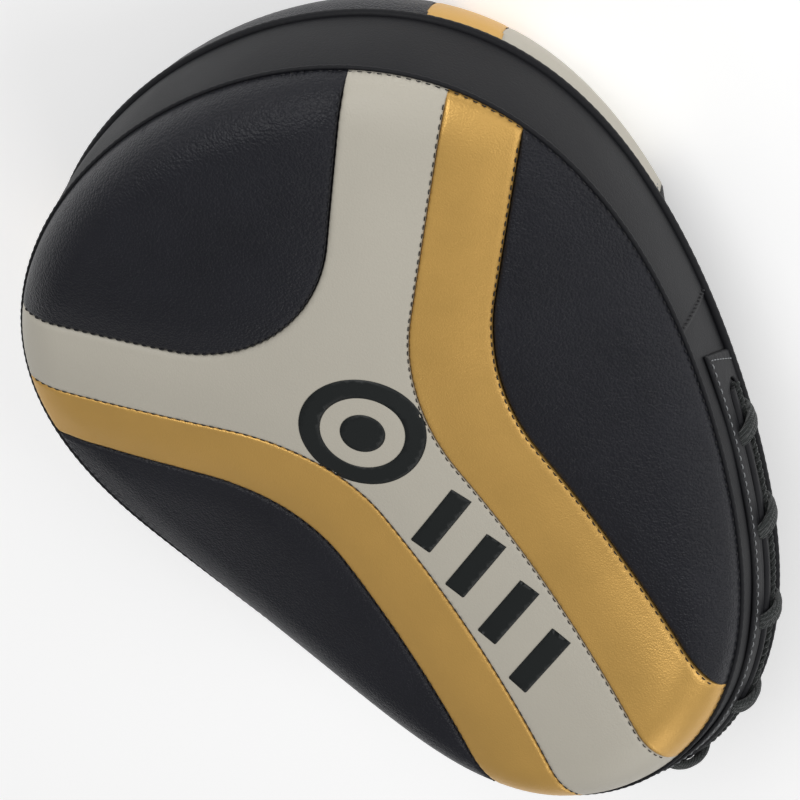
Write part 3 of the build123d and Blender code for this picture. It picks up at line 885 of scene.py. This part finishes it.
class MITT_OT_lacing(bpy.types.Operator):
    """Make the lacing patch, its stitching, the strands in its slot and the lace wraps"""
    bl_idname = "mitt.lacing"
    bl_label = "Lacing"

    def execute(self, context):
        edge, slot = patch_loops()
        loops = [resample(np.vstack([loop, loop[:1]]), 1.1)[:-1] for loop in (edge, slot)]
        closed = [np.vstack([loop, loop[:1]]) for loop in loops]
        reach = edge[:, 0].max()
        x, y = np.meshgrid(np.arange(-reach, reach, 1.5), np.arange(-PAD, -5.0, 1.1))
        rows = [along_line(line, side * 0.5) for line in closed for side in (-1, 1)]
        inner = np.vstack([np.stack([x.ravel(), y.ravel()], 1), *rows])
        near = np.min([nearest(inner, line)[0] for line in closed], axis=0)
        keep = inside(inner, loops[0]) & ~inside(inner, loops[1]) & (near > 0.35)
        flat, faces = triangulated(loops, [], inner[keep])
        middle = flat[faces].mean(1)
        faces = faces[inside(middle, loops[0]) & ~inside(middle, loops[1])]
        near = np.min([nearest(flat, line)[0] for line in closed], axis=0)
        rise = 0.85 * np.sqrt(1 - np.clip(1 - near / 1.0, 0, 1)**2)
        line_dip = 0.22 * np.exp(-((near - 2.2) / 0.55)**2)
        out = wall_out(flat[:, 1]) - 0.2 + rise - line_dip
        patch = piece("lacing_patch_skin", wall(flat[:, 0], flat[:, 1], out), faces, "side_leather",
                      "side_leather", nodes=("lacing_patch",))
        thicken(patch, 0.9)

        inset = np.array([(distance_at(-25.0) - 2.6, -PATCH_FRONT - 2.2),
                          (distance_at(-33.0) - 2.8, -PAD + 3.2)])
        corners = [(inset[1, 0], inset[1, 1]), (inset[0, 0], inset[0, 1]), (-inset[0, 0], inset[0, 1]),
                   (-inset[1, 0], inset[1, 1])]
        line = resample(np.array(corners), 0.7)
        out = wall_out(line[:, 1]) + 0.66
        path = wall(line[:, 0], line[:, 1], out)
        normals = wall(line[:, 0], line[:, 1], out + 1.0) - path
        stitches("stitches_patch", path, normals, "pale_thread", "side_leather", length=0.62,
                 thickness=0.95)

        mid = -(SLOT_NEAR + SLOT_FAR) / 2
        end = distance_at(-44.0) + 3.0
        strand("slot_strand_front", mid + 3.3, 1.3, round_section(3.6, 2.8, 14), "side_leather",
               "side_leather", -end, end, 0.3)
        strand("slot_strand_middle", mid + 0.6, 1.0, round_section(2.4, 2.4, 14), "side_leather",
               "side_leather", -end, end, -0.3)
        at = np.linspace(-end, end, int(end * 2 / 0.5))
        parts = []
        for turn in (0.0, pi):
            spin = 2 * pi * at / 5.2 + turn
            height = mid - 2.3 + 0.4 * np.sin(2 * pi * at / LACE_PITCH) + 0.66 * np.cos(spin)
            out = 1.6 + 0.66 * np.sin(spin)
            path = wall(at, height, out)
            normals = wall(at, height, out + 1.0) - path
            parts.append(swept(path, normals, round_section(1.6, 1.6, 8)))
        piece("lace_twisted_run", *merged(parts), "lace", "lace", nodes=("lace",))

        sizes = context.scene.mitt_sizes
        width = sizes.lace_width / MM
        angles = np.linspace(0, 2 * pi, 65)[:-1]
        c, s = np.cos(angles), np.sin(angles)
        ribs = 0.72 + 0.42 * np.abs(np.sin(2.0 * pi * (c + 1)))
        section = np.stack([np.sign(c) * np.abs(c)**0.7 * width / 2,
                            np.sign(s) * np.abs(s)**0.7 * 1.25 * ribs], 1)
        for k in range(LACE_WRAPS):
            middle = LACE_FIRST - k * LACE_PITCH
            t = np.linspace(0, 1, 34)
            arch = np.sin(pi * t)**0.55
            tilt = 3.0 + 0.6 * sin(k * 2.1)
            height = -(SLOT_NEAR - 2.4) - (SLOT_FAR - SLOT_NEAR + 4.0) * t
            at = middle + tilt * (2 * t - 1)
            out = 0.4 + 3.9 * arch
            path = wall(at, height, out)
            normals = wall(at, height, out + 1.0) - path
            scale = 0.82 + 0.18 * np.sin(pi * t)
            points, faces = swept(path, normals, section, False, scale)
            piece("lace_wrap_%d" % (k + 1), points, faces, "lace", "lace")
        return {"FINISHED"}


# ---- finger hood ----
def outward(line, side=1):
    """Sideways directions of a section line in x and z."""
    run = np.gradient(line, axis=0)
    run /= np.linalg.norm(run, axis=1, keepdims=True)
    return np.stack([run[:, 1], -run[:, 0]], 1) * side


def upright(section, y):
    """World points of a section line in x and z, standing at a place along y."""
    return np.stack([section[:, 0], np.full(len(section), y), section[:, 1]], 1) * MM


HOOD_BULGE = 0.6
HOOD_DRAW, HOOD_DRAW_RUN = 2.0, 50.0
HOOD_CORNER = 42.0
HOOD_TURN_Z = 35.0
HOOD_WALL = 10.2
BLACK_LINE = ((26.0, 12.0), (84.0, 104.0))
GOLD_LINE = ((46.0, 12.0), (97.0, 84.0))


def hood_border(out):
    """The edge of the hood laid flat, closed along its mouth, drawn in towards it."""
    at = np.linspace(0, RIM_LENGTH, 1201)
    loop = rim(at, out - HOOD_DRAW * np.exp(-((rim(at)[:, 1] - HOOD_MOUTH) / HOOD_DRAW_RUN)**2))
    loop = resample(loop[loop[:, 1] > HOOD_MOUTH], 1.4)
    loop[0, 1] = loop[-1, 1] = HOOD_MOUTH
    mouth = resample(np.array([loop[-1], loop[0]]), 1.6)
    return loop, np.vstack([loop, mouth[1:]])


def depth_inside(flat):
    """How far points are inside the outline, less than nothing outside it."""
    away = nearest(flat, OUTLINE)[0]
    return np.where(inside(flat, OUTLINE), away, -away)


def hood_lines():
    """The four seam lines of the hood laid flat."""
    lines = []
    for (x0, y0), (x1, y1) in (BLACK_LINE, GOLD_LINE):
        for side in (-1, 1):
            far = 1.35
            end = (side * (x0 + (x1 - x0) * far), y0 + (y1 - y0) * far)
            lines.append(resample(np.array([(side * x0, y0), end]), 1.0))
    return lines


def hood_height(flat, wall_in=0.0):
    """Height of the hood's outer face, or of its lining, by place."""
    u = np.clip((depth_inside(flat) + HOOD_BULGE - wall_in) / HOOD_CORNER, 0, 1)
    height = HOOD_TURN_Z * (1 - (1 - (1 - u)**2.2)**(1 / 2.2)) * (1 - wall_in / 30) + wall_in
    if wall_in:
        return height
    pitch = bpy.context.scene.mitt_sizes.stitch_pitch / MM
    for line in hood_lines():
        away, place, _ = nearest(flat, line)
        t = np.clip(1 - away / 2.0, 0, 1)
        pucker = 1 + 0.15 * np.cos(2 * pi * place / pitch)
        height += 1.2 * (1 - np.sqrt(np.maximum(1 - t * t, 0))) * pucker
    return height + 0.05 + 0.22 * (1 + np.sin(flat[:, 0] * 0.09) * np.sin(flat[:, 1] * 0.075)) * u


def plan_mesh(border, lines, insets, loose_step):
    """A flat shape as triangles, with finer rows beside its lines and its edge."""
    rows = []
    for line in lines:
        for offset in (0.5, 1.0, 1.7):
            rows += [along_line(line, offset), along_line(line, -offset)]
    for inset in insets:
        row = along_line(border, inset)
        rows.append(row[np.abs(nearest(row, border)[0] - inset) < 0.12])
    extra = np.vstack(rows + [hexagons(loose_step)])
    keep = inside(extra, border) & (nearest(extra, border)[0] > 0.25)
    extra = extra[keep]
    if lines:
        extra = extra[np.min([nearest(extra, line)[0] for line in lines], axis=0) > 0.4]
    cells = {(int(x // 0.9), int(y // 0.9)): (x, y) for x, y in extra[::-1]}
    flat, faces = triangulated([border[:-1]], lines, cells.values())
    return flat, faces[inside(flat[faces].mean(1), border)]


def hood_surface(out, wall_in, lines):
    """World points and faces of the hood's bottom and wall."""
    loop, border = hood_border(out)
    flat, faces = plan_mesh(border, lines, (0.3, 0.7, 1.2, 1.9, 2.8, 4.0, 5.5, 7.5, 10.0, 13.0), 2.8)
    height = hood_height(flat, wall_in)
    bottom = np.stack([flat[:, 0], flat[:, 1] + ORIGIN_Y, height], 1)
    start = hood_height(loop, wall_in)
    rows = 12
    t = np.linspace(0, 1, rows)[:, None]
    tuck = np.clip((t - 0.75) / 0.25, 0, 1)**1.6 * (2.2 if not wall_in else 0.0)
    middle = np.array([0.0, loop[:, 1].mean()])
    inward = middle - loop
    inward /= np.linalg.norm(inward, axis=1, keepdims=True)
    sides = []
    for i in range(rows):
        place = loop + inward * tuck[i]
        z = start + (BACK_Z + 0.6 - start) * t[i]
        sides.append(np.stack([place[:, 0], place[:, 1] + ORIGIN_Y, z], 1))
    sides = np.vstack(sides)
    quads = [tuple(i + len(bottom) for i in face) for face in grid_faces(rows, len(loop))]
    points = np.vstack([bottom, sides]) * MM
    return points, [tuple(f) for f in faces] + quads


class MITT_OT_hood(bpy.types.Operator):
    """Make the finger hood: its five panels, its lining and the binding of its mouth"""
    bl_idname = "mitt.hood"
    bl_label = "Finger Hood"

    def execute(self, context):
        points, faces = hood_surface(HOOD_BULGE, 0.0, hood_lines())
        middle = np.array([points[list(face)].mean(0) for face in faces]) / MM
        middle[:, 1] -= ORIGIN_Y

        def outer(line):
            (x0, y0), (x1, y1) = line
            return np.abs(middle[:, 0]) > x0 + (x1 - x0) * (middle[:, 1] - y0) / (y1 - y0)

        black, gold = ~outer(BLACK_LINE), outer(BLACK_LINE) & ~outer(GOLD_LINE)
        pale = outer(GOLD_LINE) & outer(BLACK_LINE)
        left, right = middle[:, 0] < 0, middle[:, 0] >= 0
        panels = (("hood_panel_centre", black, "black_leather"),
                  ("hood_stripe_left", gold & left, "gold_leather"),
                  ("hood_stripe_right", gold & right, "gold_leather"),
                  ("hood_side_left", pale & left, "pale_leather"),
                  ("hood_side_right", pale & right, "pale_leather"))
        for name, chosen, leather in panels:
            own = only_used(points, [face for face, use in zip(faces, chosen) if use])
            panel = piece(name + "_skin", *own, leather, leather, nodes=(name,))
            thicken(panel, 1.2)
        lining = piece("hood_lining_pad", *hood_surface(HOOD_BULGE - HOOD_WALL, HOOD_WALL, []), "lining",
                       "lining", nodes=("hood_foam", "hood_lining"))
        thicken(lining, 1.0)

        half = rim(distance_at(HOOD_MOUTH))[0] + HOOD_BULGE
        u = np.linspace(0, 1, 14)
        corner = np.stack([half - HOOD_CORNER * u, HOOD_TURN_Z * (1 - (1 - (1 - u)**2.2)**(1 / 2.2))], 1)
        line = np.vstack([[(half, BACK_Z + 1.0)], corner, [(0.0, 0.0)]])
        line = np.vstack([line, line[::-1][1:] * [-1, 1]])
        line = resample(line, 1.5)
        out = outward(line)
        out *= np.sign((out * (line - [0.0, BACK_Z])).sum(1, keepdims=True))
        y = HOOD_MOUTH + ORIGIN_Y - 1.4
        path = upright(line - out * (HOOD_WALL / 2 + 0.1), y)
        normals = upright(out, 0.0) / MM
        section = round_section(3.2, HOOD_WALL - 0.3, 24, 3.4)
        points, faces = swept(path, normals, section)
        piece("hood_binding_roll", points, faces, "side_leather", "side_leather", nodes=("hood_binding",))
        edge = upright(line - out * 0.05, y + 3.4)[3:-3]
        stitches("stitches_hood_mouth", edge, normals[3:-3], "pale_thread", "side_leather", length=0.6)
        for k, line in enumerate(hood_lines()):
            d = depth_inside(line)
            flat = line[d > -HOOD_BULGE + 1.0][2:]
            z = hood_height(flat)
            path = np.stack([flat[:, 0], flat[:, 1] + ORIGIN_Y, z - 0.1], 1) * MM
            side = np.tile([0.0, 0.0, -1.0], (len(path), 1))
            stitches("stitches_hood_%d" % (k + 1), path, side, "dark_thread", "black_leather", length=0.6)
        return {"FINISHED"}


# ---- palm ball ----
class MITT_OT_palm_ball(bpy.types.Operator):
    """Make the sewn palm ball"""
    bl_idname = "mitt.palm_ball"
    bl_label = "Palm Ball"

    def execute(self, context):
        low, high = BALL_BOX
        radius = (high.x - low.x) / 2 + 0.6
        centre = np.array([(low.x + high.x) / 2, (low.y + high.y) / 2, low.z + radius])
        gores, around, rows = 6, 144, 46
        polar = np.linspace(0.02, 1.75, rows)[:, None]
        turn = (np.arange(around) * 2 * pi / around)[None, :]
        seam = np.abs(np.sin(turn * gores / 2))
        pucker = 1 - 0.055 * np.exp(-(seam / 0.09)**2) + 0.012 * seam
        size = radius * pucker * (1 - 0.02 * np.exp(-(polar / 0.15)**2))
        points = np.stack([size * np.sin(polar) * np.cos(turn), size * np.sin(polar) * np.sin(turn),
                           -size * np.cos(polar)], -1)
        points = (points + centre).reshape(-1, 3) * MM
        faces = grid_faces(rows, around, False, True) + [tuple(range(around))]
        ball = piece("palm_ball_cover", points, faces, "black_leather", "black_leather",
                     nodes=("grip_ball_cover", "grip_ball_core"))
        for k in range(gores):
            angle = k * 2 * pi / gores
            p = np.linspace(0.12, 1.25, 60)
            spoke = np.stack([np.sin(p) * cos(angle), np.sin(p) * sin(angle), -np.cos(p)], 1)
            stitches("stitches_ball_%d" % (k + 1), (centre + spoke * radius * 0.952) * MM, spoke,
                     "pale_thread", "black_leather", length=0.55)
        return {"FINISHED"}


# ---- wrist cuff and strap ----
CUFF_GAP = 6.0
STRAP_THICK = 2.2


def cuff_path(side, half_width, low):
    """Half of the cuff's section as a line from the middle gap to the pad, in x and z."""
    corner = 9.0
    turn = np.linspace(0, pi / 2, 14)
    arc = np.stack([half_width - corner + corner * np.sin(turn), low + corner - corner * np.cos(turn)], 1)
    line = np.vstack([[(CUFF_GAP / 2, low)], arc, [(half_width, BACK_Z + 16.0)]])
    line = resample(line, 1.5)
    return line * [side, 1]


class MITT_OT_cuff(bpy.types.Operator):
    """Make the two padded flaps of the wrist cuff"""
    bl_idname = "mitt.cuff"
    bl_label = "Wrist Cuff"

    def execute(self, context):
        low, high = CUFF_BOX
        middle, width = (low.y + high.y) / 2, high.y - low.y
        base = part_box("cuff_flap_left")[0].z / MM
        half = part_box("cuff_flap_right")[1].x / MM
        for side, name in ((-1, "left"), (1, "right")):
            line = cuff_path(side, half, base)
            out = outward(line, side)
            normals = upright(out, 0.0) / MM
            for part, shift, thick, wide, leather, node in (
                    ("cuff_flap_%s_skin", 1.4, 2.8, width, "side_leather", "cuff_flap_"),
                    ("cuff_lining_%s_pad", 4.1, 4.4, width - 2.4, "lining", "cuff_foam_")):
                world = upright(line - out * shift, middle)
                puff = 1 + 0.03 * np.sin(np.arange(len(line)) * 0.55)
                section = round_section(wide, thick, 36, 4.5)
                points, faces = swept(world, normals, section, False, puff)
                pad = piece(part % name, points, faces, leather, leather, nodes=(node + name,))
            for edge in (-1, 1):
                world = upright(line, middle + edge * (width / 2 - 3.4))
                stitches("stitches_cuff_%s_%d" % (name, (edge + 3) // 2), world, normals, "pale_thread",
                         "side_leather", length=0.6, sink=-0.05)
        return {"FINISHED"}


def webbing_section(width, thickness, ribs=11):
    """A flat section with fine lengthwise ribs on both faces."""
    at = np.linspace(-1, 1, ribs * 6 + 1)[1:-1]
    rise = thickness / 2 - 0.16 + 0.16 * np.abs(np.sin(at * pi * ribs / 2))
    top = np.stack([at * width / 2, rise], 1)
    low = np.stack([at[::-1] * width / 2, -rise[::-1]], 1)
    return np.vstack([top, [(width / 2, 0.0)], low, [(-width / 2, 0.0)]])


class MITT_OT_strap(bpy.types.Operator):
    """Make the closing strap with its hook patch, pull tab and sewn end"""
    bl_idname = "mitt.strap"
    bl_label = "Closing Strap"

    def execute(self, context):
        low, high = STRAP_BOX
        anchor_low, anchor_high = (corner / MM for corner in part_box("strap_anchor"))
        hinge_x = (low.x + anchor_high.x) / 2
        middle, width = (low.y + high.y) / 2, high.y - low.y
        x = np.concatenate([np.arange(anchor_low.x, hinge_x - 3.0, 1.2),
                            np.linspace(hinge_x - 3.0, hinge_x + 3.0, 25),
                            np.arange(hinge_x + 3.5, high.x, 1.2), [high.x]])
        path = np.stack([x, np.full(len(x), middle), np.full(len(x), STRAP_THICK / 2)], 1) * MM
        up = np.tile([0.0, 0.0, 1.0], (len(x), 1))
        from_end = np.clip((high.x - x) / 5.0, 0, 1)
        squeeze = 1 - 10.0 / width * (1 - np.sqrt(1 - (1 - from_end)**2))
        points, faces = swept(path, up, webbing_section(width, STRAP_THICK))
        rows = points.reshape(len(x), -1, 3)
        rows[:, :, 1] = middle * MM + (rows[:, :, 1] - middle * MM) * squeeze[:, None]
        strap = piece("closure_strap_web", rows.reshape(-1, 3), faces, "webbing", "webbing", body="",
                      nodes=("closure_strap",))
        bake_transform(strap)

        base = STRAP_THICK + 0.05
        x = np.arange(anchor_low.x, hinge_x - 0.5, 0.8)
        path = np.stack([x, np.full(len(x), middle), np.full(len(x), (base + anchor_high.z) / 2)], 1) * MM
        block = webbing_section(width, anchor_high.z - base)
        points, faces = swept(path, np.tile([0.0, 0.0, 1.0], (len(x), 1)), block)
        piece("strap_anchor_web", points, faces, "webbing", "webbing", nodes=("strap_anchor",))

        wide = width / 2 - 3.0
        a, b = anchor_low.x + 1.2, hinge_x - 2.2
        box = np.array([(a, -wide), (b, -wide), (b, wide), (a, wide), (a, -wide), (b, wide)])
        line = resample(box, 0.5)
        world = np.stack([line[:, 0], line[:, 1] + middle, np.full(len(line), 0.03)], 1) * MM
        stitches("stitches_strap_anchor", world, np.tile([0.0, 0.0, -1.0], (len(world), 1)),
                 "pale_thread", "webbing", length=0.6)

        hook_low, hook_high = (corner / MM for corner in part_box("hook_patch"))
        hooks = []
        across, along = np.meshgrid(np.arange(hook_low.x + 1.2, hook_high.x - 0.8, 1.3),
                                    np.arange(hook_low.y + 1.2, hook_high.y - 0.8, 1.3))
        t = np.linspace(0, pi * 1.15, 6)
        for px, py in zip(across.ravel(), along.ravel()):
            arc = np.stack([px + 0.28 * (1 - np.cos(t)), py + 0 * t,
                            hook_low.z + 0.62 + 0.42 * np.sin(t)], 1)
            hooks.append(swept(arc * MM, np.tile([0.0, 1.0, 0.0], (6, 1)), round_section(0.2, 0.2, 4)))
        slab = rounded_slab((hook_low.x, hook_low.y), (hook_high.x, hook_high.y), hook_low.z,
                            hook_low.z + 0.6, 1.5, 0.15)
        piece("hook_patch_tape", *merged([slab] + hooks), "hook_tape", "hook_tape", body="strap",
              nodes=("hook_patch",))

        tab_low, tab_high = (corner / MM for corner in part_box("pull_tab"))
        parts = [rounded_slab((tab_low.x - 3.0, tab_low.y), (tab_high.x, tab_high.y), 0.05,
                              tab_high.z, 4.0, 0.45)]
        for k in range(4):
            px = tab_low.x + 1.6 + k * 1.7
            wide = (tab_high.y - tab_low.y) / 2 - 3.0
            ridge = np.stack([np.full(12, px), np.linspace(middle - wide, middle + wide, 12),
                              np.full(12, tab_high.z - 0.1)], 1) * MM
            parts.append(swept(ridge, np.tile([0.0, 0.0, 1.0], (12, 1)), round_section(0.8, 0.7, 8)))
        piece("pull_tab_grip", *merged(parts), "rubber", "rubber", body="strap", nodes=("pull_tab",))
        return {"FINISHED"}


def rounded_slab(low, high, bottom, top, corner, bevel):
    """Points and faces of a flat slab with rounded corners and softened edges."""
    turns = np.linspace(0, pi / 2, 7)
    centre = (np.array(low) + high) / 2
    half = (np.array(high) - low) / 2
    plan = []
    for k, sign in enumerate(((1, 1), (-1, 1), (-1, -1), (1, -1))):
        angles = turns + k * pi / 2
        arc = corner * np.stack([np.cos(angles), np.sin(angles)], 1)
        plan.append(centre + np.array(sign) * (half - corner) + arc)
    plan = np.vstack(plan)
    away = plan - centre
    rings = []
    for z, inset in ((bottom, bevel), (bottom + bevel, 0.0), (top - bevel, 0.0), (top, bevel)):
        shrunk = centre + away * (1 - inset / half)
        rings.append(np.column_stack([shrunk, np.full(len(plan), z)]))
    points = np.vstack(rings) * MM
    count = len(plan)
    faces = grid_faces(4, count, False, True)
    faces += [tuple(range(count))[::-1], tuple(3 * count + i for i in range(count))]
    return points, faces


# ---- studio ----
CAMERA_PLACE = (0.36424, 0.26079, 0.61429)
CAMERA_RIGHT = (0.73845, -0.64354, -0.20136)
CAMERA_UP = (0.43338, 0.68173, -0.58943)
CAMERA_BACK = (0.51659, 0.34800, 0.78232)
CAMERA_LENS = 97.2
FLOOR_HALF, FLOOR_Z, FLOOR_GLOW = 6.0, -0.0006, 0.34
SKY_STRENGTH = 0.24
LIGHT_TARGET = (0.0, 0.0, 0.06)
# name, place, power and size
LIGHTS = (("key", (0.55, 1.15, 1.5), 16.0, 1.0), ("side", (1.3, -0.75, 1.0), 7.5, 0.9),
          ("low", (-0.5, -1.5, 1.1), 5.0, 0.9))


class MITT_OT_stage(bpy.types.Operator):
    """Set up the floor, the lights and the camera"""
    bl_idname = "mitt.stage"
    bl_label = "Studio"

    def execute(self, context):
        floor_material, _, shader = base_material("studio_floor", context.scene.mitt_colours.floor, 0.7,
                                                  specular=0.2)
        mesh = bpy.data.meshes.new("studio_floor")
        corners = ((-1, -1), (1, -1), (1, 1), (-1, 1))
        mesh.from_pydata([(x * FLOOR_HALF, y * FLOOR_HALF, FLOOR_Z) for x, y in corners], [],
                         [(0, 1, 2, 3)])
        shader.inputs["Emission Color"].default_value = (1.0, 1.0, 1.0, 1)
        shader.inputs["Emission Strength"].default_value = FLOOR_GLOW
        floor = bpy.data.objects.new("studio_floor", mesh)
        floor.data.materials.append(floor_material)
        context.collection.objects.link(floor)

        world = bpy.data.worlds.new("studio")
        context.scene.world = world
        world.use_nodes = True
        background = world.node_tree.nodes["Background"]
        background.inputs["Color"].default_value = (1.0, 1.0, 1.0, 1)
        background.inputs["Strength"].default_value = SKY_STRENGTH
        context.scene.view_settings.view_transform = "Standard"

        target = Vector(LIGHT_TARGET)
        for name, place, power, size in LIGHTS:
            light = bpy.data.lights.new(name, "AREA")
            light.energy, light.size = power, size
            lamp = bpy.data.objects.new(name, light)
            lamp.location = place
            lamp.rotation_euler = (target - Vector(place)).to_track_quat("-Z", "Y").to_euler()
            context.collection.objects.link(lamp)

        camera = bpy.data.cameras.new("camera")
        camera.lens, camera.sensor_width = CAMERA_LENS, 36.0
        camera.clip_start = 0.01
        holder = bpy.data.objects.new("camera", camera)
        turned = Matrix((CAMERA_RIGHT, CAMERA_UP, CAMERA_BACK)).transposed().to_4x4()
        holder.matrix_world = Matrix.Translation(CAMERA_PLACE) @ turned
        context.collection.objects.link(holder)
        context.scene.camera = holder
        return {"FINISHED"}


class MITT_PT_panel(bpy.types.Panel):
    """Sizes, colours and the steps of the mitt"""
    bl_idname = "MITT_PT_panel"
    bl_label = "Focus Mitt"
    bl_space_type = "VIEW_3D"
    bl_region_type = "UI"
    bl_category = "Mitt"

    def draw(self, context):
        for group in (context.scene.mitt_sizes, context.scene.mitt_colours):
            for name in group.__annotations__:
                self.layout.prop(group, name)
        for step in STEPS:
            self.layout.operator(step.bl_idname)


STEPS = (MITT_OT_materials, MITT_OT_strike_face, MITT_OT_pad_layers, MITT_OT_face_stitching,
         MITT_OT_printed_marks, MITT_OT_side_wall, MITT_OT_lacing, MITT_OT_hood, MITT_OT_palm_ball, MITT_OT_cuff,
         MITT_OT_strap, MITT_OT_stage)
CLASSES = (MittSizes, MittColours) + STEPS + (MITT_PT_panel,)


def register():
    for cls in CLASSES:
        bpy.utils.register_class(cls)
    bpy.types.Scene.mitt_sizes = bpy.props.PointerProperty(type=MittSizes)
    bpy.types.Scene.mitt_colours = bpy.props.PointerProperty(type=MittColours)


def unregister():
    del bpy.types.Scene.mitt_colours
    del bpy.types.Scene.mitt_sizes
    for cls in reversed(CLASSES):
        bpy.utils.unregister_class(cls)


def main():
    """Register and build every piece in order."""
    register()
    bpy.ops.mitt.materials()
    bpy.ops.mitt.strike_face()
    bpy.ops.mitt.pad_layers()
    bpy.ops.mitt.face_stitching()
    bpy.ops.mitt.printed_marks()
    bpy.ops.mitt.side_wall()
    bpy.ops.mitt.lacing()
    bpy.ops.mitt.hood()
    bpy.ops.mitt.palm_ball()
    bpy.ops.mitt.cuff()
    bpy.ops.mitt.strap()
    bpy.ops.mitt.stage()


if __name__ == "__main__":
    main()
